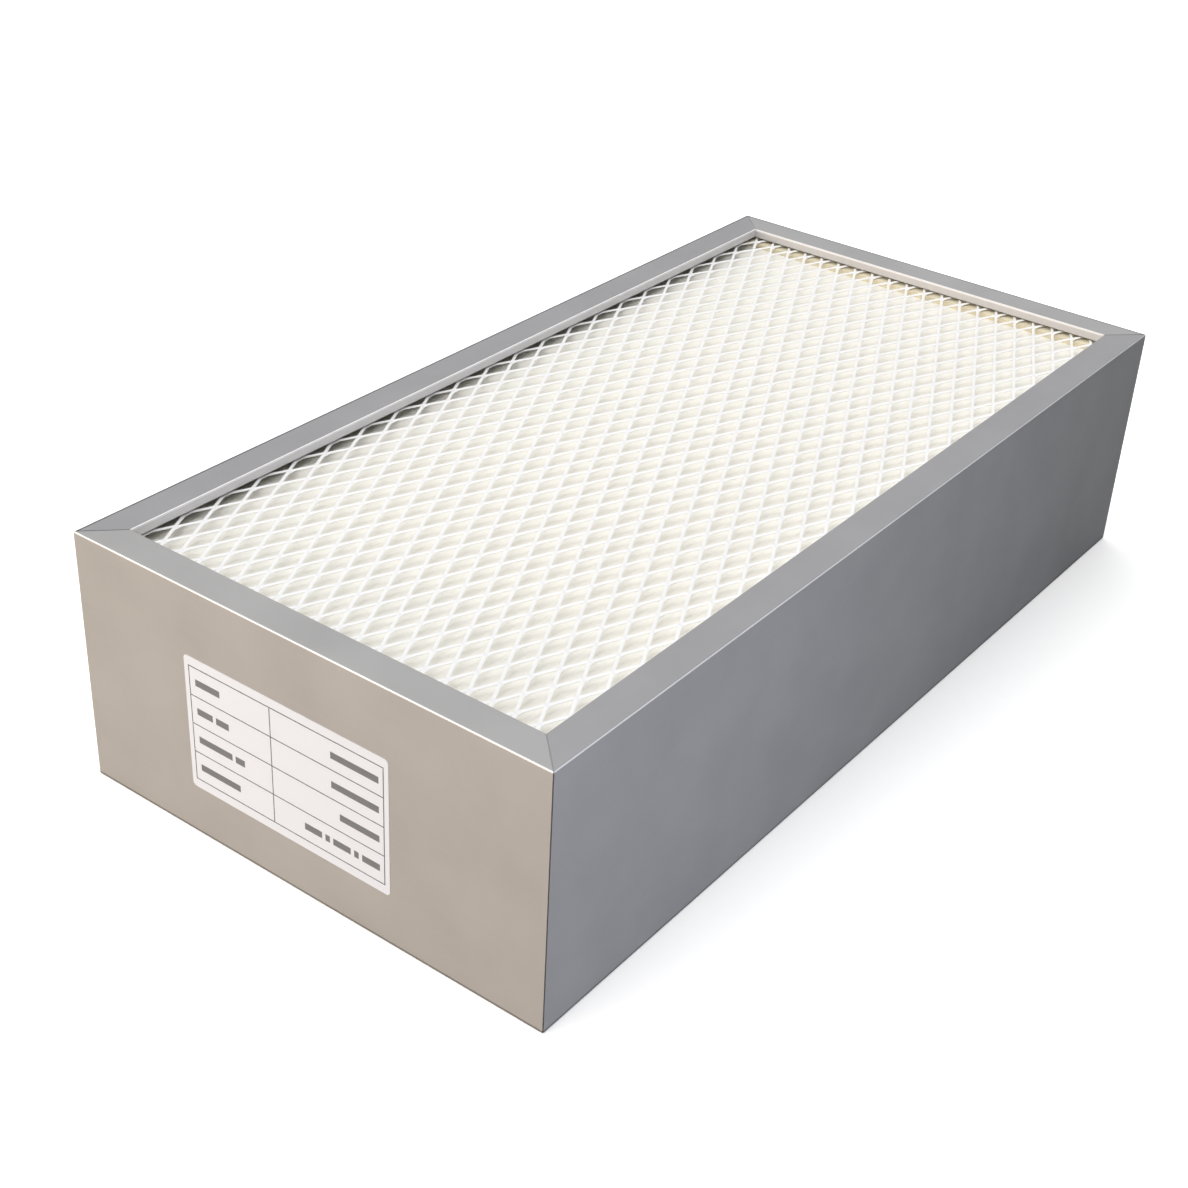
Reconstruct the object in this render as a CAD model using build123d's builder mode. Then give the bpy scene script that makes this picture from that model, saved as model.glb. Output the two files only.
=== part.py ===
from build123d import *
from math import atan2, ceil, cos, degrees, sin
import os

# Overall size: length along Y, width along X, height along Z
frame_length = 610.0
frame_width = 305.0
frame_height = 150.0

# Rail section, distances measured inwards from the outer face
wall_thickness = 1.8
flange_width = 20.0
flange_thickness = 1.8
lip_depth = 5.5
lip_thickness = 1.5
outer_edge_radius = 1.0
lip_edge_radius = 0.6
mitre_angle = 45.0
seam_width = 0.6
seam_depth = 0.4
pocket_width = 10.0
pocket_web = 1.2
shelf_width = 15.0
shelf_thickness = 1.4

# Corner keys pressed into the rail pockets
key_arm_length = 42.0
key_clearance = 0.15
key_tip_chamfer = 2.0
key_tooth_depth = 0.6
key_tooth_pitch = 6.0
key_teeth_per_side = 4
key_notch_sides = 4

# Expanded-metal guards, with strands that cross in two layers between flat hems
mesh_long_pitch = 27.0
mesh_short_pitch = 13.4
mesh_offset = -4.5
strand_width = 2.2
strand_thickness = 0.8
strand_gap = 0.2
hem_width = 3.0
guard_clearance = 0.1

# Media pack, one sheet folded along the length of the frame
media_thickness = 0.4
fold_pitch = 3.25
fold_gap = 0.4
pack_recess = 3.6
pack_side_gap = 0.5

# Sealing compound
potting_reveal = 5.0
potting_clearance = 0.3
side_bead_recess = 0.3

# Label on the front rail
label_width = 135.0
label_height = 80.0
label_thickness = 0.15
label_corner_radius = 2.5
label_center_x = -9.0
label_center_z = 70.5

# Levels and distances that follow from the rail section
guard_thickness = 2 * strand_thickness + strand_gap
lip_tip = frame_height - lip_depth
guard_top = lip_tip - guard_clearance
guard_underside = guard_top - guard_thickness
shelf_top = guard_underside - guard_clearance
shelf_underside = shelf_top - shelf_thickness
flange_underside = frame_height - flange_thickness
pocket_inner = wall_thickness + pocket_width
web_inner = pocket_inner + pocket_web
seam_length = 4 * flange_width
mid_height = Plane.XY.offset(frame_height / 2)
pack_top = guard_underside - pack_recess
pack_bottom = frame_height - pack_top
potting_top = guard_underside - potting_clearance


def rail_section(plane):
    """Section of the extrusion: local x runs inwards from the outer face, local y runs up."""
    half_height = frame_height / 2
    with BuildSketch(plane) as section:
        with BuildLine():
            Polyline(
                (0, half_height),
                (0, frame_height),
                (flange_width, frame_height),
                (flange_width, lip_tip),
                (flange_width - lip_thickness, lip_tip),
                (flange_width - lip_thickness, flange_underside),
                (web_inner, flange_underside),
                (web_inner, shelf_top),
                (shelf_width, shelf_top),
                (shelf_width, shelf_underside),
                (wall_thickness, shelf_underside),
                (wall_thickness, half_height),
                close=True,
            )
        make_face()
        with Locations((wall_thickness, shelf_top)):
            Rectangle(
                pocket_width,
                flange_underside - shelf_top,
                align=(Align.MIN, Align.MIN),
                mode=Mode.SUBTRACT,
            )
        flange_corners = section.vertices().group_by(Axis.Y)[-1].sort_by(Axis.X)
        fillet(flange_corners[0], outer_edge_radius)
        flange_corners = section.vertices().group_by(Axis.Y)[-1].sort_by(Axis.X)
        fillet(flange_corners[-1], lip_edge_radius)
        mirror(about=Plane(origin=(0, half_height, 0), z_dir=(0, 1, 0)))
    return section.sketch


# Shallow seams that show where the rails meet, around the outside of each corner
with BuildPart() as seams:
    with BuildSketch():
        for side in (-1, 1):
            for end in (-1, 1):
                with Locations((side * frame_width / 2, end * frame_length / 2)):
                    Rectangle(seam_length, seam_width, rotation=side * end * mitre_angle)
        Rectangle(frame_width, frame_length, mode=Mode.INTERSECT)
    extrude(amount=frame_height)
    with BuildSketch(Plane.XY.offset(seam_depth)):
        Rectangle(frame_width - 2 * seam_depth, frame_length - 2 * seam_depth)
    extrude(amount=frame_height - 2 * seam_depth, mode=Mode.SUBTRACT)

# Long rails, mitred at both ends
left_section_plane = Plane(origin=(-frame_width / 2, 0, 0), x_dir=(1, 0, 0), z_dir=(0, -1, 0))
with BuildPart() as left_rail:
    extrude(rail_section(left_section_plane), amount=frame_length / 2, both=True)
    for end in (-1, 1):
        corner = (-frame_width / 2, end * frame_length / 2, 0)
        split(bisect_by=Plane(origin=corner, z_dir=(1, end, 0)), keep=Keep.BOTTOM)
    add(seams.part, mode=Mode.SUBTRACT)

with BuildPart() as right_rail:
    mirror(left_rail.part, about=Plane.YZ)

# Short rails, mitred at both ends
front_section_plane = Plane(origin=(0, -frame_length / 2, 0), x_dir=(0, 1, 0), z_dir=(1, 0, 0))
with BuildPart() as front_rail:
    extrude(rail_section(front_section_plane), amount=frame_width / 2, both=True)
    for end in (-1, 1):
        corner = (end * frame_width / 2, -frame_length / 2, 0)
        split(bisect_by=Plane(origin=corner, z_dir=(end, 1, 0)), keep=Keep.BOTTOM)
    add(seams.part, mode=Mode.SUBTRACT)

with BuildPart() as rear_rail:
    mirror(front_rail.part, about=Plane.XZ)


# Corner key: two toothed arms that lie in the pockets of the rails that meet at a corner
key_width = pocket_width - 2 * key_clearance
key_height = flange_underside - shelf_top - 2 * key_clearance
key_inset = wall_thickness + key_clearance
key_plane = Plane(
    origin=(-frame_width / 2 + key_inset, -frame_length / 2 + key_inset, shelf_top + key_clearance)
)


def tooth_notches(side):
    """Centres of the grip notches along one side of an arm that runs along local x."""
    first = key_arm_length - key_tip_chamfer - key_tooth_pitch / 2
    return [(first - tooth * key_tooth_pitch, side) for tooth in range(key_teeth_per_side)]


with BuildPart() as upper_front_left_key:
    with BuildSketch(key_plane):
        Rectangle(key_arm_length, key_width, align=(Align.MIN, Align.MIN))
        Rectangle(key_width, key_arm_length, align=(Align.MIN, Align.MIN))
    extrude(amount=key_height)
    tips = faces().filter_by(Axis.X).sort_by(Axis.X)[-1:] + faces().filter_by(Axis.Y).sort_by(Axis.Y)[-1:]
    chamfer(tips.edges().filter_by(Axis.Z), key_tip_chamfer)
    with BuildSketch(key_plane):
        with Locations(*tooth_notches(0), *tooth_notches(key_width)):
            RegularPolygon(key_tooth_depth, key_notch_sides)
        with Locations(*[(y, x) for x, y in tooth_notches(0) + tooth_notches(key_width)]):
            RegularPolygon(key_tooth_depth, key_notch_sides)
    extrude(amount=key_height, mode=Mode.SUBTRACT)

keys = {"upper_front_left_key": upper_front_left_key.part}
keys["upper_front_right_key"] = mirror(keys["upper_front_left_key"], about=Plane.YZ, mode=Mode.PRIVATE)
for side in ("left", "right"):
    front_key = keys[f"upper_front_{side}_key"]
    keys[f"upper_rear_{side}_key"] = mirror(front_key, about=Plane.XZ, mode=Mode.PRIVATE)
for name in list(keys):
    lower_name = name.replace("upper", "lower")
    keys[lower_name] = mirror(keys[name], about=mid_height, mode=Mode.PRIVATE)


# Face guard: hemmed all round, held between the lip and the shelf, with diamond openings
guard_width = frame_width - 2 * (web_inner + guard_clearance)
guard_length = frame_length - 2 * (web_inner + guard_clearance)
strand_angle = atan2(mesh_long_pitch, mesh_short_pitch)
strand_spacing = mesh_long_pitch * cos(strand_angle)
strand_reach = guard_width * sin(strand_angle) + guard_length * cos(strand_angle)
strands_each_side = ceil(strand_reach / 2 / strand_spacing)


def strand_layer(height, lean):
    """Parallel strands that cross the guard on one diagonal, trimmed at the middle of the hem."""
    strand_length = guard_width + guard_length
    with BuildSketch(Plane.XY.offset(height)) as layer:
        for strand in range(-strands_each_side, strands_each_side + 1):
            with Locations((0, mesh_offset + strand * mesh_long_pitch)):
                Rectangle(strand_length, strand_width, rotation=lean * degrees(strand_angle))
        Rectangle(guard_width - hem_width, guard_length - hem_width, mode=Mode.INTERSECT)
    return layer.sketch


with BuildPart() as upper_guard:
    with BuildSketch(Plane.XY.offset(guard_underside)):
        Rectangle(guard_width, guard_length)
        Rectangle(guard_width - 2 * hem_width, guard_length - 2 * hem_width, mode=Mode.SUBTRACT)
    extrude(amount=guard_thickness)
    extrude(strand_layer(guard_underside, 1), amount=strand_thickness)
    extrude(strand_layer(guard_top - strand_thickness, -1), amount=strand_thickness)

with BuildPart() as lower_guard:
    mirror(upper_guard.part, about=mid_height)


# Media pack: broad fold crests at both faces, the legs lean so that each crest hides the next channel
pack_width = frame_width - 2 * (flange_width + pack_side_gap)
fold_count = round(pack_width / fold_pitch)
fold_step = pack_width / fold_count
potting_inner = flange_width + potting_reveal
pack_length = frame_length - 2 * potting_inner


def fold_outline():
    """Closed outline of the folded sheet in the XZ plane."""
    top_side = []
    bottom_side = []
    for fold in range(fold_count):
        start = -pack_width / 2 + fold * fold_step
        last = fold == fold_count - 1
        crest_start = start if fold == 0 else start + fold_gap / 2
        crest_end = pack_width / 2 if last else start + fold_step - fold_gap / 2
        turn_start = start + fold_step / 2 + fold_gap / 2
        turn_end = turn_start + fold_step - fold_gap
        top_side += [(crest_start, pack_top), (crest_end, pack_top)]
        bottom_side += [
            (crest_start + media_thickness, pack_top - media_thickness),
            (crest_end - media_thickness, pack_top - media_thickness),
        ]
        if last:
            continue
        top_side += [
            (turn_start + media_thickness, pack_bottom + media_thickness),
            (turn_end - media_thickness, pack_bottom + media_thickness),
        ]
        bottom_side += [(turn_start, pack_bottom), (turn_end, pack_bottom)]
    first_leg = [(-pack_width / 2 + media_thickness, pack_bottom), (-pack_width / 2, pack_bottom)]
    last_leg = [(top_side[-1][0], pack_bottom), (top_side[-1][0] - media_thickness, pack_bottom)]
    return top_side + last_leg + bottom_side[::-1] + first_leg


with BuildPart() as media_pack:
    with BuildSketch(Plane.XZ):
        with BuildLine():
            Polyline(*fold_outline(), close=True)
        make_face()
    extrude(amount=pack_length / 2, both=True)


# Potting that closes the ends of the folds, poured against the short rails and level with their shelves
inner_width = frame_width - 2 * wall_thickness
with BuildPart() as front_potting:
    with BuildSketch(Plane.XY.offset(frame_height - shelf_underside)):
        with Locations((0, -frame_length / 2 + wall_thickness)):
            Rectangle(inner_width, potting_inner - wall_thickness, align=(Align.CENTER, Align.MIN))
    extrude(amount=2 * shelf_underside - frame_height)
    with BuildSketch(Plane.XY.offset(frame_height - potting_top)):
        with Locations((0, -frame_length / 2 + shelf_width)):
            Rectangle(
                frame_width - 2 * shelf_width,
                potting_inner - shelf_width,
                align=(Align.CENTER, Align.MIN),
            )
    extrude(amount=2 * potting_top - frame_height)

with BuildPart() as rear_potting:
    mirror(front_potting.part, about=Plane.XZ)

# Beads that seal the outermost folds to the long rails
with BuildPart() as left_side_bead:
    with BuildSketch(Plane.XY.offset(pack_bottom + side_bead_recess)):
        with Locations((-frame_width / 2 + wall_thickness, 0)):
            Rectangle(
                flange_width + pack_side_gap - wall_thickness,
                pack_length,
                align=(Align.MIN, Align.CENTER),
            )
    extrude(amount=pack_top - pack_bottom - 2 * side_bead_recess)

with BuildPart() as right_side_bead:
    mirror(left_side_bead.part, about=Plane.YZ)

# Label stuck on the front rail
with BuildPart() as label:
    with BuildSketch(Plane.XZ.offset(frame_length / 2)):
        with Locations((label_center_x, label_center_z)):
            RectangleRounded(label_width, label_height, label_corner_radius)
    extrude(amount=label_thickness)

pieces = {
    "left_rail": left_rail.part,
    "right_rail": right_rail.part,
    "front_rail": front_rail.part,
    "rear_rail": rear_rail.part,
    "upper_guard": upper_guard.part,
    "lower_guard": lower_guard.part,
    "media_pack": media_pack.part,
    "front_potting": front_potting.part,
    "rear_potting": rear_potting.part,
    "left_side_bead": left_side_bead.part,
    "right_side_bead": right_side_bead.part,
    "label": label.part,
    **keys,
}

os.makedirs("parts", exist_ok=True)
for name, piece in pieces.items():
    piece.label = name
    export_step(piece, f"parts/{name}.step")
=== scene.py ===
import bpy
import math
from mathutils import Matrix, Vector


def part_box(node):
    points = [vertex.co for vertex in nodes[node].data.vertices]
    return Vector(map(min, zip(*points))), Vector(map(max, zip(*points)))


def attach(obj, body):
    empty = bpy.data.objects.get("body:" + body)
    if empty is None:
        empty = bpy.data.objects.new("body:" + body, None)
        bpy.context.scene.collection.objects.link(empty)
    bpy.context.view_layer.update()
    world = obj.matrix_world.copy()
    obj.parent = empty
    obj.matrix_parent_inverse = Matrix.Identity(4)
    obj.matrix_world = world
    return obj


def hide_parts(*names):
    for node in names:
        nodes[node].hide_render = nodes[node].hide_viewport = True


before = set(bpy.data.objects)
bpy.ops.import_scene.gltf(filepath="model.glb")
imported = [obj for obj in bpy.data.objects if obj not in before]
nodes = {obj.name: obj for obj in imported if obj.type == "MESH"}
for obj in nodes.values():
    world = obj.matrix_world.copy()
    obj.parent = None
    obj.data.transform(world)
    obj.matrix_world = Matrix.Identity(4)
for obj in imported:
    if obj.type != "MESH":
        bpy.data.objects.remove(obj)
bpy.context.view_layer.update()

MM = 0.001

# Sizes of the frame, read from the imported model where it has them
WIDTH = 2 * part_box("right_rail")[1][0]
LENGTH = 2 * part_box("rear_rail")[1][1]
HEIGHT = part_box("front_rail")[1][2]
FLANGE_WIDTH = 20.0 * MM
LIP_EDGE_RADIUS = 0.6 * MM

# Expanded-metal guard
LONG_PITCH = 27.0 * MM
SHORT_PITCH = 13.4 * MM
MESH_OFFSET = -4.5 * MM
STRAND_WIDTH = 1.85 * MM
STRAND_THICKNESS = 0.2 * MM
STRAND_SLOPE = 0.13
BOND_TWIST = 1.5
HEM_WIDTH = 3.0 * MM
MERGE_DISTANCE = 0.01 * MM

# Corners of the openings are rounded over this share of the way from bond to bond
ROUNDED_SHARE = 0.3
ROUNDING = 0.9 * MM

# Share of the way at which a bond ends, half a strand width from its middle
BOND_SHARE = round(STRAND_WIDTH / SHORT_PITCH, 4)

# Stations of a strand between two bonds, as shares of the way, close together near the bonds
STATION_PHASES = (0.0, 0.045, 0.09, BOND_SHARE, 0.23, 0.5, 0.77, 1 - BOND_SHARE, 0.91, 0.955)

# Folded media, with the crests pressed close together
FOLD_COUNT = 81
SHEET_THICKNESS = 0.4 * MM
CREST_GAP = 0.03 * MM
SHOULDER = 0.03 * MM
CREST_ROUNDING_SHARE = 0.3
PACK_STATIONS = 28

# How far the crests wander from a straight line, and the waves of it in radians, or radians per metre
CREST_WANDER = 0.12 * MM
WANDER_ACROSS = 700
WANDER_ALONG = 23
WANDER_SKEW = 90
WANDER_BEND = 4


def mesh_object(name, vertices, faces):
    """New object with a mesh of its own, linked to the scene."""
    mesh = bpy.data.meshes.new(name)
    mesh.from_pydata(vertices, [], faces)
    mesh.validate()
    piece = bpy.data.objects.new(name, mesh)
    bpy.context.scene.collection.objects.link(piece)
    return piece


def corner_filling(phase):
    """Share of the rounding that fills the corner of an opening beside the left bond of a strand."""
    distance = abs(phase % 2 - 1)
    return max(0.0, 1 - distance / ROUNDED_SHARE) ** 2


def strand_vertices(row, station, middle, direction):
    """Left and right edge of one strand at a station, counted from the lattice crossing near the middle."""
    half_pitches, step = divmod(station, len(STATION_PHASES))
    along = half_pitches + STATION_PHASES[step]
    y = MESH_OFFSET + along * LONG_PITCH / 2
    phase = along + (0 if row % 2 else 1)
    pitch = SHORT_PITCH / 2
    to_left_bond = pitch * abs(phase % 2 - 1)
    to_right_bond = pitch - to_left_bond
    half_width = STRAND_WIDTH / 2
    left_reach = min(half_width, to_left_bond)
    right_reach = min(half_width, to_right_bond)
    share = (to_left_bond - half_width) / (pitch - STRAND_WIDTH)
    lift = max(-1.0, min(1.0, 2 * share - 1)) * half_width
    if to_left_bond < half_width:
        lift = -to_left_bond
    elif to_right_bond < half_width:
        lift = to_right_bond
    center = row * pitch + to_left_bond
    filling = ROUNDING * corner_filling(phase)
    bond = max(0.0, 1 - min(to_left_bond, to_right_bond) / half_width)
    slope = direction * STRAND_SLOPE * (1 + BOND_TWIST * bond)
    left = (center - left_reach, y, middle + slope * (lift + left_reach))
    right = (center + right_reach + filling, y, middle + slope * (lift - right_reach - filling))
    return left, right


def strand_sheet(half_x, half_y, middle, direction):
    """Vertices and faces of all strands within the hem, as one sheet joined at the bonds."""
    steps_per_meter = len(STATION_PHASES) / (LONG_PITCH / 2)
    first = math.ceil((-half_y - MESH_OFFSET) * steps_per_meter)
    last = math.floor((half_y - MESH_OFFSET) * steps_per_meter)
    index = {}
    vertices = []
    faces = []

    def vertex(point):
        key = tuple(round(c / MERGE_DISTANCE) for c in point)
        if key not in index:
            index[key] = len(vertices)
            vertices.append(point)
        return index[key]

    rows = math.floor(half_x / (SHORT_PITCH / 2))
    for row in range(-rows, rows):
        previous = None
        for station in range(first, last + 1):
            left, right = strand_vertices(row, station, middle, direction)
            current = (vertex(left), vertex(right))
            if previous:
                faces.append((previous[0], previous[1], current[1], current[0]))
            previous = current
    return vertices, faces


def shell_from_sheet(vertices, faces, thickness):
    """Gives a sheet of faces a thickness, with side faces along its free edges."""
    count = len(vertices)
    top = [(x, y, z + thickness / 2) for x, y, z in vertices]
    bottom = [(x, y, z - thickness / 2) for x, y, z in vertices]
    used = dict.fromkeys(edge for face in faces for edge in zip(face, face[1:] + face[:1]))
    sides = [(b, a, a + count, b + count) for a, b in used if (b, a) not in used]
    under = [tuple(v + count for v in reversed(face)) for face in faces]
    return top + bottom, list(faces) + under + sides


def ring_shell(outer, inner, low, high):
    """Vertices and faces of a closed flat ring between two rectangles, given by their half sizes."""
    vertices = []
    for half_x, half_y in (outer, inner):
        for z in (low, high):
            for sx, sy in ((-1, -1), (1, -1), (1, 1), (-1, 1)):
                vertices.append((sx * half_x, sy * half_y, z))
    faces = []
    for i in range(4):
        j = (i + 1) % 4
        faces.append((i, j, j + 4, i + 4))
        faces.append((8 + j, 8 + i, 12 + i, 12 + j))
        faces.append((4 + i, 4 + j, 12 + j, 12 + i))
        faces.append((j, i, 8 + i, 8 + j))
    return vertices, faces


def build_guard(name, node, direction, coat):
    """Expanded metal that replaces a guard of the frame, slit and stretched from one sheet."""
    low, high = (Vector(corner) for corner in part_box(node))
    half_x, half_y = high.x - HEM_WIDTH / 2, high.y - HEM_WIDTH / 2
    vertices, faces = strand_sheet(half_x, half_y, (low.z + high.z) / 2, direction)
    vertices, faces = shell_from_sheet(vertices, faces, STRAND_THICKNESS)
    outer = (high.x, high.y)
    inner = (high.x - HEM_WIDTH, high.y - HEM_WIDTH)
    hem_vertices, hem_faces = ring_shell(outer, inner, low.z, high.z)
    offset = len(vertices)
    faces += [tuple(v + offset for v in face) for face in hem_faces]
    guard = mesh_object(name, vertices + hem_vertices, faces)
    guard.data.materials.append(coat)
    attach(guard, "root")
    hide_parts(node)


def crest(start, end, step, level, inward):
    """Outer face of the sheet at one fold, with a soft shoulder at each side; inward is -1 at the top."""
    return [
        (start, level + inward * 2 * SHOULDER),
        (start + SHOULDER, level + inward * SHOULDER / 2),
        (start + step * CREST_ROUNDING_SHARE, level),
        (end - step * CREST_ROUNDING_SHARE, level),
        (end - SHOULDER, level + inward * SHOULDER / 2),
        (end, level + inward * 2 * SHOULDER),
    ]


def crest_lining(start, end, level, inward):
    """Inner face of the sheet at one fold."""
    z = level + inward * (SHEET_THICKNESS + SHOULDER)
    return [(start + SHEET_THICKNESS, z), (end - SHEET_THICKNESS, z)]


def fold_outline(low, high, step):
    """Closed outline of the folded sheet, as (x, z) points."""
    outer = []
    inner = []
    for fold in range(FOLD_COUNT):
        start = low.x + fold * step
        last = fold == FOLD_COUNT - 1
        crest_start = low.x if fold == 0 else start + CREST_GAP / 2
        crest_end = high.x if last else start + step - CREST_GAP / 2
        outer += crest(crest_start, crest_end, step, high.z, -1)
        inner += crest_lining(crest_start, crest_end, high.z, -1)
        if last:
            continue
        turn_start = start + step / 2 + CREST_GAP / 2
        turn_end = start + 1.5 * step - CREST_GAP / 2
        outer += crest_lining(turn_start, turn_end, low.z, 1)
        inner += crest(turn_start, turn_end, step, low.z, 1)
    foot = [(high.x, low.z), (high.x - SHEET_THICKNESS, low.z)]
    heel = [(low.x + SHEET_THICKNESS, low.z), (low.x, low.z)]
    return outer + foot + inner[::-1] + heel


def build_media(name, node, paper):
    """Folded sheet with soft, slightly wandering crests that replaces the pack of the frame."""
    low, high = (Vector(corner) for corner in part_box(node))
    step = (high.x - low.x) / FOLD_COUNT
    outline = fold_outline(low, high, step)
    count = len(outline)
    vertices = []
    for station in range(PACK_STATIONS + 1):
        share = station / PACK_STATIONS
        y = low.y + share * (high.y - low.y)
        ease = math.sin(math.pi * share)
        for x, z in outline:
            edge = min(1.0, min(x - low.x, high.x - x) / step)
            bend = WANDER_BEND * math.sin(y * WANDER_ALONG + x * WANDER_SKEW)
            wander = CREST_WANDER * ease * edge * math.sin(x * WANDER_ACROSS + bend)
            vertices.append((x + wander, y, z))
    faces = []
    for station in range(PACK_STATIONS):
        base = station * count
        for i in range(count):
            j = (i + 1) % count
            faces.append((base + i, base + j, base + count + j, base + count + i))
    faces.append(tuple(reversed(range(count))))
    faces.append(tuple(range(PACK_STATIONS * count, (PACK_STATIONS + 1) * count)))
    pack = mesh_object(name, vertices, faces)
    pack.data.materials.append(paper)
    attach(pack, "root")
    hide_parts(node)


# Node helpers

# Most noise values lie between these two
NOISE_LOW, NOISE_HIGH = 0.3, 0.7


def new_material(name):
    material = bpy.data.materials.new(name)
    material.use_nodes = True
    tree = material.node_tree
    return material, tree, tree.nodes["Principled BSDF"]


def add(tree, kind, **settings):
    node = tree.nodes.new(kind)
    for key, value in settings.items():
        setattr(node, key, value)
    return node


def noise(tree, coordinates, scale, detail=3.0, stretch=(1, 1, 1)):
    """Noise value over the surface, in cycles per metre, stretched along the axes."""
    mapping = add(tree, "ShaderNodeMapping")
    mapping.inputs["Scale"].default_value = stretch
    tree.links.new(coordinates, mapping.inputs["Vector"])
    texture = add(tree, "ShaderNodeTexNoise")
    texture.inputs["Scale"].default_value = scale
    texture.inputs["Detail"].default_value = detail
    tree.links.new(mapping.outputs["Vector"], texture.inputs["Vector"])
    return texture.outputs["Fac"]


def remap(tree, value, low, high, out_low, out_high):
    node = add(tree, "ShaderNodeMapRange")
    tree.links.new(value, node.inputs["Value"])
    limits = (low, high, out_low, out_high)
    for socket, number in zip(("From Min", "From Max", "To Min", "To Max"), limits):
        node.inputs[socket].default_value = number
    return node.outputs["Result"]


def vary(tree, texture, low, high):
    """A noise value spread from low to high."""
    return remap(tree, texture, NOISE_LOW, NOISE_HIGH, low, high)


def math_node(tree, operation, first, second=None):
    node = add(tree, "ShaderNodeMath", operation=operation)
    for socket, value in zip(node.inputs, (first, second)):
        if isinstance(value, (int, float)):
            socket.default_value = value
        elif value is not None:
            tree.links.new(value, socket)
    return node.outputs["Value"]


def both(tree, first, second):
    """1 where two masks are both 1."""
    return math_node(tree, "MULTIPLY", first, second)


def outside(tree, mask):
    """1 where a mask is 0."""
    return math_node(tree, "SUBTRACT", 1, mask)


def tinted(tree, colour, factor):
    """A colour multiplied by a varying factor."""
    node = add(tree, "ShaderNodeVectorMath", operation="SCALE")
    node.inputs[0].default_value = colour
    tree.links.new(factor, node.inputs["Scale"])
    return node.outputs["Vector"]


def bump(tree, height, distance):
    node = add(tree, "ShaderNodeBump")
    node.inputs["Strength"].default_value = 1.0
    node.inputs["Distance"].default_value = distance
    tree.links.new(height, node.inputs["Height"])
    return node.outputs["Normal"]


def object_coordinates(tree):
    return add(tree, "ShaderNodeTexCoord").outputs["Object"]


def separated(tree, vector):
    split = add(tree, "ShaderNodeSeparateXYZ")
    tree.links.new(vector, split.inputs[0])
    return split.outputs


def seen_directly(tree):
    """1 for rays from the camera, in reflections and through transparent things, 0 for light."""
    path = add(tree, "ShaderNodeLightPath")
    seen = math_node(tree, "MAXIMUM", path.outputs["Is Camera Ray"], path.outputs["Is Glossy Ray"])
    return math_node(tree, "MAXIMUM", seen, path.outputs["Is Transmission Ray"])


# Rails: width of the painted highlights and painted shade on their edges and lip, and how much these lighten
# or darken the metal
PAINTED_HIGHLIGHT_WIDTH = 0.55 * MM
EDGE_SHADE = 1.9 * MM
PAINTED_LIP_HIGHLIGHT_HEIGHT = 1.2 * MM
EDGE_SHADE_GAIN = -0.5
PAINTED_LIP_HIGHLIGHT_GAIN = 0.5

# Die lines are this much finer across a rail than along it
DIE_LINE_STRETCH = 0.012


def edge_zone(tree, distance, half, height, size):
    """1 within size of both the outer face and the top or bottom face, 0 elsewhere."""
    beside = math_node(tree, "GREATER_THAN", distance, half - size)
    level = math_node(tree, "GREATER_THAN", height, HEIGHT / 2 - size)
    return both(tree, beside, level)


def painted_edge_light(tree, where, along, painted_highlight_gain, painted_lip_light_gain):
    """Masks of painted light on the two rails of a kind and their gains: a painted highlight on the near top
    edge, painted shade on the other edges, painted light on the far lip and a painted highlight on its edge.
    """
    axes = separated(tree, where)
    across, near_side = ("X", WIDTH / 2) if along == "y" else ("Y", -LENGTH / 2)
    half = abs(near_side)
    distance = math_node(tree, "ABSOLUTE", axes[across])
    height = math_node(tree, "ABSOLUTE", math_node(tree, "SUBTRACT", axes["Z"], HEIGHT / 2))
    near = math_node(tree, "GREATER_THAN", math_node(tree, "MULTIPLY", axes[across], near_side), 0)
    near_top = both(tree, near, math_node(tree, "GREATER_THAN", axes["Z"], HEIGHT / 2))
    # Painted highlight along the outer top edge on the near side
    painted_highlight_edge = both(tree, edge_zone(tree, distance, half, height, PAINTED_HIGHLIGHT_WIDTH), near_top)
    # Painted shade along the far top edges and along all bottom edges
    painted_shade_zone = edge_zone(tree, distance, half, height, EDGE_SHADE)
    painted_shade_edge = both(tree, painted_shade_zone, outside(tree, near_top))
    # Painted light: the inner face of the far lip is brightened
    inside = math_node(tree, "LESS_THAN", distance, half - FLANGE_WIDTH + LIP_EDGE_RADIUS)
    lip = both(tree, inside, outside(tree, near))
    # Painted highlight along the top of the far lip's face
    painted_highlight_lip_edge = both(tree, lip, math_node(tree, "GREATER_THAN", height, HEIGHT / 2 - PAINTED_LIP_HIGHLIGHT_HEIGHT))
    return (
        (painted_highlight_edge, painted_highlight_gain),
        (painted_shade_edge, EDGE_SHADE_GAIN),
        (lip, painted_lip_light_gain),
        (painted_highlight_lip_edge, PAINTED_LIP_HIGHLIGHT_GAIN),
    )


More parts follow.
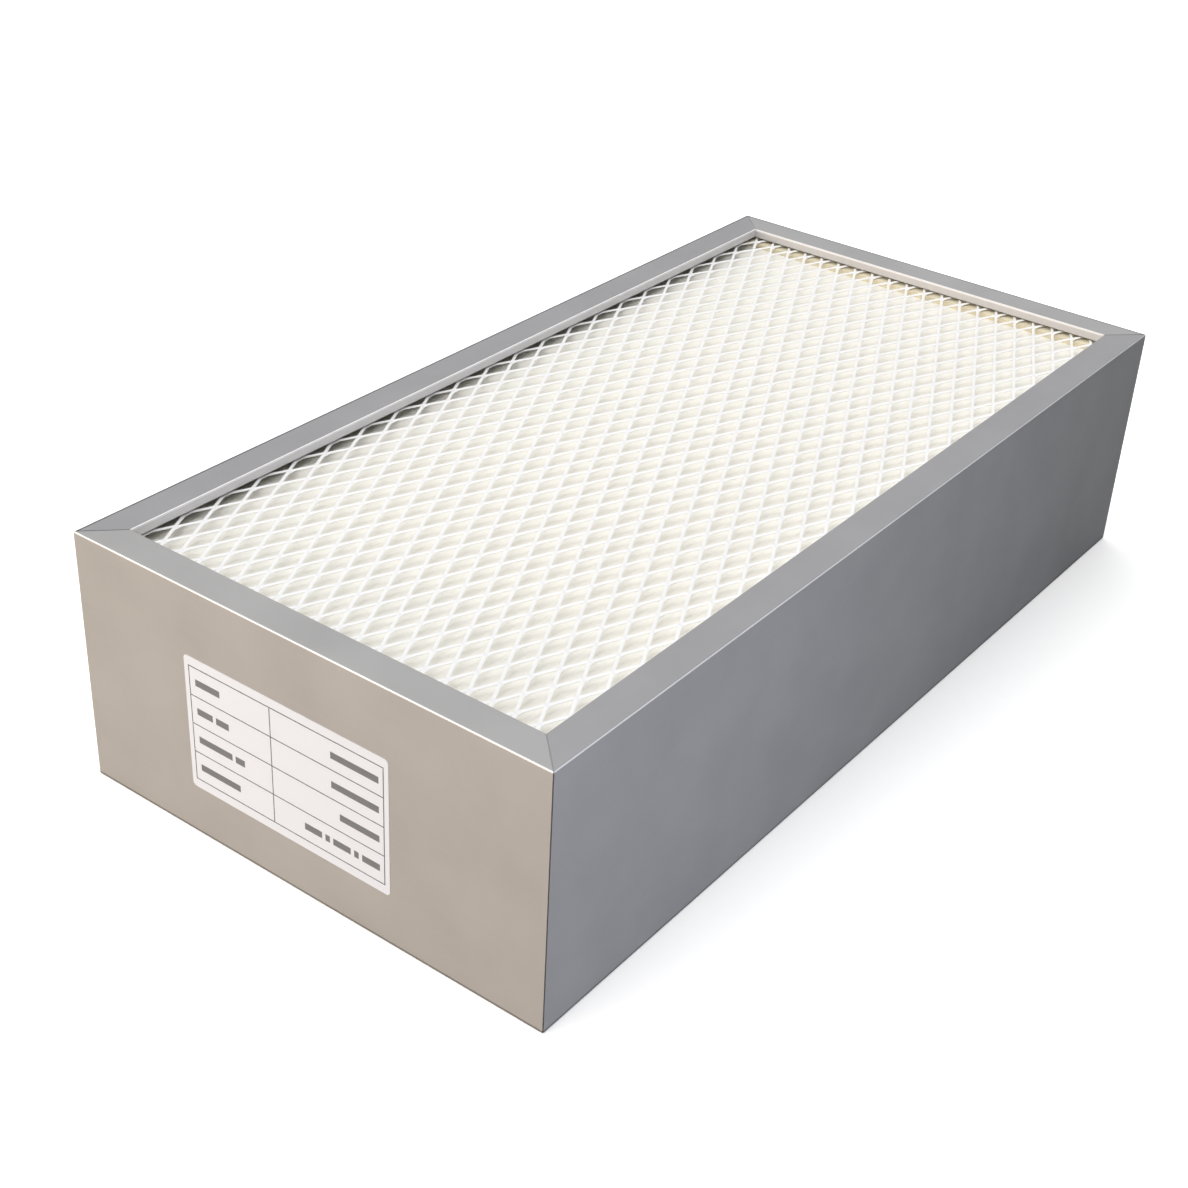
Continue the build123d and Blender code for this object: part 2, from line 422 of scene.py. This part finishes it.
def aluminium(name, colour, along, painted_highlight_gain, painted_lip_light_gain):
    """Satin anodised extrusion with fine die lines and faint clouds, with painted highlights and painted
    shade on its edges and painted light on its far lip.
    """
    material, tree, shader = new_material(name)
    where = object_coordinates(tree)
    stretch = tuple(DIE_LINE_STRETCH if axis == along else 1.0 for axis in "xyz")
    lines = noise(tree, where, scale=900, detail=2.0, stretch=stretch)
    grain = noise(tree, where, scale=2400, detail=2.0)
    clouds = noise(tree, where, scale=22, detail=4.0)
    shade = math_node(tree, "ADD", vary(tree, clouds, 0.95, 1.035), vary(tree, lines, -0.008, 0.008))
    # The painted highlights, painted shade and painted lip light are added to the colour factor here
    for mask, gain in painted_edge_light(tree, where, along, painted_highlight_gain, painted_lip_light_gain):
        shade = math_node(tree, "ADD", shade, math_node(tree, "MULTIPLY", mask, gain))
    tree.links.new(tinted(tree, colour, shade), shader.inputs["Base Color"])
    tree.links.new(vary(tree, grain, 0.42, 0.52), shader.inputs["Roughness"])
    relief = math_node(tree, "MULTIPLY", math_node(tree, "ADD", lines, grain), 0.5)
    tree.links.new(bump(tree, relief, 0.012 * MM), shader.inputs["Normal"])
    shader.inputs["Metallic"].default_value = 0.15
    shader.inputs["Specular IOR Level"].default_value = 0.0
    return material


def powder_coat():
    """White powder coat with a fine orange peel."""
    material, tree, shader = new_material("white_powder_coat")
    peel = noise(tree, object_coordinates(tree), scale=900, detail=2.0)
    white = tinted(tree, (0.965, 0.965, 0.965), vary(tree, peel, 0.98, 1.01))
    tree.links.new(white, shader.inputs["Base Color"])
    tree.links.new(vary(tree, peel, 0.38, 0.5), shader.inputs["Roughness"])
    tree.links.new(bump(tree, peel, 0.03 * MM), shader.inputs["Normal"])
    return material


def glass_fibre_paper():
    """Matt off-white paper with fine fibres and shallow dents."""
    material, tree, shader = new_material("glass_fibre_paper")
    where = object_coordinates(tree)
    fibres = noise(tree, where, scale=420, detail=6.0)
    dents = noise(tree, where, scale=70, detail=3.0)
    shade = math_node(tree, "MULTIPLY", vary(tree, fibres, 0.97, 1.01), vary(tree, dents, 0.98, 1.01))
    tree.links.new(tinted(tree, (0.867, 0.847, 0.787), shade), shader.inputs["Base Color"])
    shader.inputs["Roughness"].default_value = 0.85
    relief = math_node(tree, "ADD", math_node(tree, "MULTIPLY", fibres, 0.25), dents)
    tree.links.new(bump(tree, relief, 0.12 * MM), shader.inputs["Normal"])
    return material


def resin(name, colour):
    """Poured compound with a smooth, slightly wavy skin."""
    material, tree, shader = new_material(name)
    ripple = noise(tree, object_coordinates(tree), scale=60, detail=3.0)
    tree.links.new(tinted(tree, colour, vary(tree, ripple, 0.93, 1.04)), shader.inputs["Base Color"])
    shader.inputs["Roughness"].default_value = 0.45
    tree.links.new(bump(tree, ripple, 1.5 * MM), shader.inputs["Normal"])
    return material


def cast_metal():
    """Plain cast aluminium of the corner keys."""
    material, tree, shader = new_material("cast_metal")
    grain = noise(tree, object_coordinates(tree), scale=1500, detail=3.0)
    grey = tinted(tree, (0.5, 0.5, 0.51), vary(tree, grain, 0.9, 1.05))
    tree.links.new(grey, shader.inputs["Base Color"])
    tree.links.new(bump(tree, grain, 0.05 * MM), shader.inputs["Normal"])
    shader.inputs["Metallic"].default_value = 0.8
    shader.inputs["Roughness"].default_value = 0.55
    return material


# Printed table of the label, as distances from the label's centre
TABLE_HALF_WIDTH = 64.3 * MM
TABLE_HALF_HEIGHT = 34.5 * MM
TABLE_DIVIDER = -9.0 * MM
TABLE_ROWS = 4
RULE_WIDTH = 0.6 * MM
LEFT_MARGIN = 4.0 * MM
RIGHT_MARGIN = 3.0 * MM
PAPER = (0.72, 0.785, 0.91, 1)
RULE_INK = (0.03, 0.03, 0.035, 1)
WORD_INK = (0.12, 0.13, 0.145, 1)

# Bars that stand for the words, their lengths in millimetres, from the top row down
ENTRY_HEIGHT = 4.0 * MM
WORD_GAP = 2.2 * MM
LEFT_ENTRIES = ((17.0,), (11.0, 9.0), (23.5, 6.5), (28.0,))
RIGHT_ENTRIES = ((30.5,), (30.5,), (25.5,), (11.5, 3.0, 11.5, 3.0, 11.5))


def rectangle_mask(tree, x, z, center_x, center_z, half_x, half_z):
    """1 inside a rectangle of the label's plane, 0 outside."""
    across = math_node(tree, "ABSOLUTE", math_node(tree, "SUBTRACT", x, center_x))
    up = math_node(tree, "ABSOLUTE", math_node(tree, "SUBTRACT", z, center_z))
    inside_x = math_node(tree, "LESS_THAN", across, half_x)
    inside_z = math_node(tree, "LESS_THAN", up, half_z)
    return both(tree, inside_x, inside_z)


def word_boxes(lengths, start, level, direction):
    """Bars that stand for the words of an entry, laid from start in the given direction."""
    boxes = []
    for length in lengths:
        half = length * MM / 2
        boxes.append((start + direction * half, level, half, ENTRY_HEIGHT / 2))
        start += direction * (2 * half + WORD_GAP)
    return boxes


def table_rules():
    """Boxes of the table's lines, across and up."""
    row_height = 2 * TABLE_HALF_HEIGHT / TABLE_ROWS
    rules = []
    for row in range(TABLE_ROWS + 1):
        level = TABLE_HALF_HEIGHT - row * row_height
        rules.append((0, level, TABLE_HALF_WIDTH + RULE_WIDTH / 2, RULE_WIDTH / 2))
    for column in (-TABLE_HALF_WIDTH, TABLE_DIVIDER, TABLE_HALF_WIDTH):
        rules.append((column, 0, RULE_WIDTH / 2, TABLE_HALF_HEIGHT))
    return rules


def table_words():
    """Boxes of all bars, from the outer margins of each row inwards."""
    row_height = 2 * TABLE_HALF_HEIGHT / TABLE_ROWS
    words = []
    for row in range(TABLE_ROWS):
        level = TABLE_HALF_HEIGHT - (row + 0.5) * row_height
        words += word_boxes(LEFT_ENTRIES[row], -TABLE_HALF_WIDTH + LEFT_MARGIN, level, 1)
        words += word_boxes(reversed(RIGHT_ENTRIES[row]), TABLE_HALF_WIDTH - RIGHT_MARGIN, level, -1)
    return words


def printed(tree, x, z, boxes):
    """1 inside any of the boxes, 0 outside."""
    mask = None
    for box in boxes:
        inside = rectangle_mask(tree, x, z, *box)
        mask = math_node(tree, "MAXIMUM", mask, inside) if mask else inside
    return mask


def label_print():
    """White label with a ruled table, its entries as plain grey bars."""
    material, tree, shader = new_material("label_print")
    low, high = (Vector(corner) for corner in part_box("label"))
    center = (low + high) / 2
    axes = separated(tree, object_coordinates(tree))
    x = math_node(tree, "SUBTRACT", axes["X"], center.x)
    z = math_node(tree, "SUBTRACT", axes["Z"], center.z)
    colour = None
    for boxes, ink in ((table_words(), WORD_INK), (table_rules(), RULE_INK)):
        mix = add(tree, "ShaderNodeMix", data_type="RGBA")
        mix.inputs["A"].default_value = PAPER
        if colour:
            tree.links.new(colour, mix.inputs["A"])
        mix.inputs["B"].default_value = ink
        tree.links.new(printed(tree, x, z, boxes), mix.inputs["Factor"])
        colour = mix.outputs["Result"]
    tree.links.new(colour, shader.inputs["Base Color"])
    shader.inputs["Roughness"].default_value = 0.5
    return material


def dress(node, material):
    """Gives a node of the frame its material."""
    slots = nodes[node].data.materials
    if not slots:
        slots.append(material)
    for slot in nodes[node].material_slots:
        slot.link = "OBJECT"
        slot.material = material


def dress_frame():
    # One aluminium in two colours: the long rails' colour is painted darker and cooler as shade, the short
    # rails' lighter as painted light, and their edge and lip gains differ for the same reason
    long_metal_painted_shade = aluminium("aluminium_long_painted_shade", (0.340, 0.340, 0.351), "y", painted_highlight_gain=1.1, painted_lip_light_gain=1.5)
    short_metal_painted_light = aluminium("aluminium_short_painted_light", (0.392, 0.390, 0.393), "x", painted_highlight_gain=1.5, painted_lip_light_gain=0.5)
    cream_resin = resin("cream_resin", (0.77, 0.70, 0.52))
    # Side beads: a greyer compound than the potting; its colour is also raised near white as painted light,
    # lifting the shade in the gap beside the pack
    pale_resin_and_painted_light = resin("pale_resin_and_painted_light", (0.88, 0.87, 0.79))
    key_metal = cast_metal()
    for name in nodes:
        if name in ("left_rail", "right_rail"):
            dress(name, long_metal_painted_shade)
        elif name in ("front_rail", "rear_rail"):
            dress(name, short_metal_painted_light)
        elif name.endswith("_potting"):
            dress(name, cream_resin)
        elif name.endswith("_side_bead"):
            dress(name, pale_resin_and_painted_light)
        elif name.endswith("_key"):
            dress(name, key_metal)
    dress("label", label_print())


# Stage: pale floor and white surroundings
FLOOR_HALF_SIZE = 12.0
FLOOR_BOUNCE = 0.11
FLOOR_GLOW = 0.35
WHITE = (1.0, 1.0, 1.0, 1)

# The sky is brightest in this direction, and dark at and below the horizon across from it
SKY_DIRECTION = (-0.57, -0.15, 0.82)
SKY_STRENGTH = 1.29
HORIZON_STRENGTH = 0.025


def build_floor():
    """White where it is seen, with a soft shadow; as a light, it sends little back up."""
    size = FLOOR_HALF_SIZE
    corners = [(-size, -size, 0), (size, -size, 0), (size, size, 0), (-size, size, 0)]
    floor = mesh_object("floor", corners, [(0, 1, 2, 3)])
    material, tree, shader = new_material("floor_white")
    seen = seen_directly(tree)
    mix = add(tree, "ShaderNodeMix", data_type="RGBA")
    tree.links.new(seen, mix.inputs["Factor"])
    mix.inputs["A"].default_value = (FLOOR_BOUNCE, FLOOR_BOUNCE, FLOOR_BOUNCE, 1)
    mix.inputs["B"].default_value = WHITE
    tree.links.new(mix.outputs["Result"], shader.inputs["Base Color"])
    shader.inputs["Roughness"].default_value = 1.0
    shader.inputs["Specular IOR Level"].default_value = 0.0
    shader.inputs["Emission Color"].default_value = WHITE
    glow = math_node(tree, "MULTIPLY", seen, FLOOR_GLOW)
    tree.links.new(glow, shader.inputs["Emission Strength"])
    floor.data.materials.append(material)


def build_world():
    """White where it is seen; as a light, brightest overhead and to the left."""
    world = bpy.data.worlds.new("studio")
    bpy.context.scene.world = world
    world.use_nodes = True
    tree = world.node_tree
    background = tree.nodes["Background"]
    facing = add(tree, "ShaderNodeVectorMath", operation="DOT_PRODUCT")
    tree.links.new(add(tree, "ShaderNodeTexCoord").outputs["Generated"], facing.inputs[0])
    facing.inputs[1].default_value = Vector(SKY_DIRECTION).normalized()
    light = remap(tree, facing.outputs["Value"], 0, 1, HORIZON_STRENGTH, SKY_STRENGTH)
    strength = math_node(tree, "MAXIMUM", seen_directly(tree), light)
    background.inputs["Color"].default_value = WHITE
    tree.links.new(strength, background.inputs["Strength"])


def link_light(name, data):
    light = bpy.data.objects.new(name, data)
    bpy.context.scene.collection.objects.link(light)
    return light


def area_light(name, place, target, size, power, colour):
    data = bpy.data.lights.new(name, "AREA")
    data.shape = "RECTANGLE"
    data.size, data.size_y = size
    data.energy = power
    data.color = colour
    light = link_light(name, data)
    light.location = place
    light.rotation_euler = (Vector(target) - Vector(place)).to_track_quat("-Z", "Y").to_euler()


def key_light(direction, angle, strength):
    """Wide, distant overhead light, even over the whole floor."""
    data = bpy.data.lights.new("key", "SUN")
    data.angle = angle
    data.energy = strength
    light = link_light("key", data)
    light.rotation_euler = Vector(direction).to_track_quat("Z", "Y").to_euler()


def build_lights():
    key_light(direction=(-0.38, -0.10, 1.0), angle=math.radians(75), strength=1.1)
    area_light(
        "warm_front",
        place=(-0.7, -1.9, 0.24),
        target=(-0.08, -0.3, 0.08),
        size=(1.6, 0.4),
        power=27,
        colour=(1.0, 0.78, 0.56),
    )
    area_light(
        "cool_side",
        place=(0.75, -0.27, 0.12),
        target=(0.15, -0.30, 0.06),
        size=(0.2, 0.2),
        power=2.05,
        colour=(0.90, 0.93, 1.0),
    )


# Camera, placed from the corners of the panel in the photograph
FRAME_PIXELS = 1188
CAMERA_PLACE = (0.540, -0.822, 0.636)
CAMERA_AZIMUTH = math.radians(35.71)
CAMERA_ELEVATION = math.radians(31.59)
CAMERA_ROLL = math.radians(3.0)
CAMERA_FOCAL_PIXELS = 1923
CAMERA_CLIP_START = 0.01
SENSOR_WIDTH = 36.0


def build_camera():
    back = Vector((
        math.sin(CAMERA_AZIMUTH) * math.cos(CAMERA_ELEVATION),
        -math.cos(CAMERA_AZIMUTH) * math.cos(CAMERA_ELEVATION),
        math.sin(CAMERA_ELEVATION),
    ))
    level = Vector((0, 0, 1)).cross(back).normalized()
    upright = back.cross(level)
    right = math.cos(CAMERA_ROLL) * level + math.sin(CAMERA_ROLL) * upright
    up = math.cos(CAMERA_ROLL) * upright - math.sin(CAMERA_ROLL) * level
    data = bpy.data.cameras.new("camera")
    data.sensor_width = SENSOR_WIDTH
    data.lens = CAMERA_FOCAL_PIXELS / FRAME_PIXELS * SENSOR_WIDTH
    data.clip_start = CAMERA_CLIP_START
    camera = bpy.data.objects.new("camera", data)
    turn = Matrix((right, up, back)).transposed().to_4x4()
    camera.matrix_world = Matrix.Translation(CAMERA_PLACE) @ turn
    bpy.context.scene.collection.objects.link(camera)
    bpy.context.scene.camera = camera


dress_frame()
build_media("media_folds", "media_pack", glass_fibre_paper())
coat = powder_coat()
build_guard("upper_guard_mesh", "upper_guard", 1, coat)
build_guard("lower_guard_mesh", "lower_guard", -1, coat)
build_floor()
build_world()
build_lights()
build_camera()
bpy.context.scene.view_settings.view_transform = "Standard"
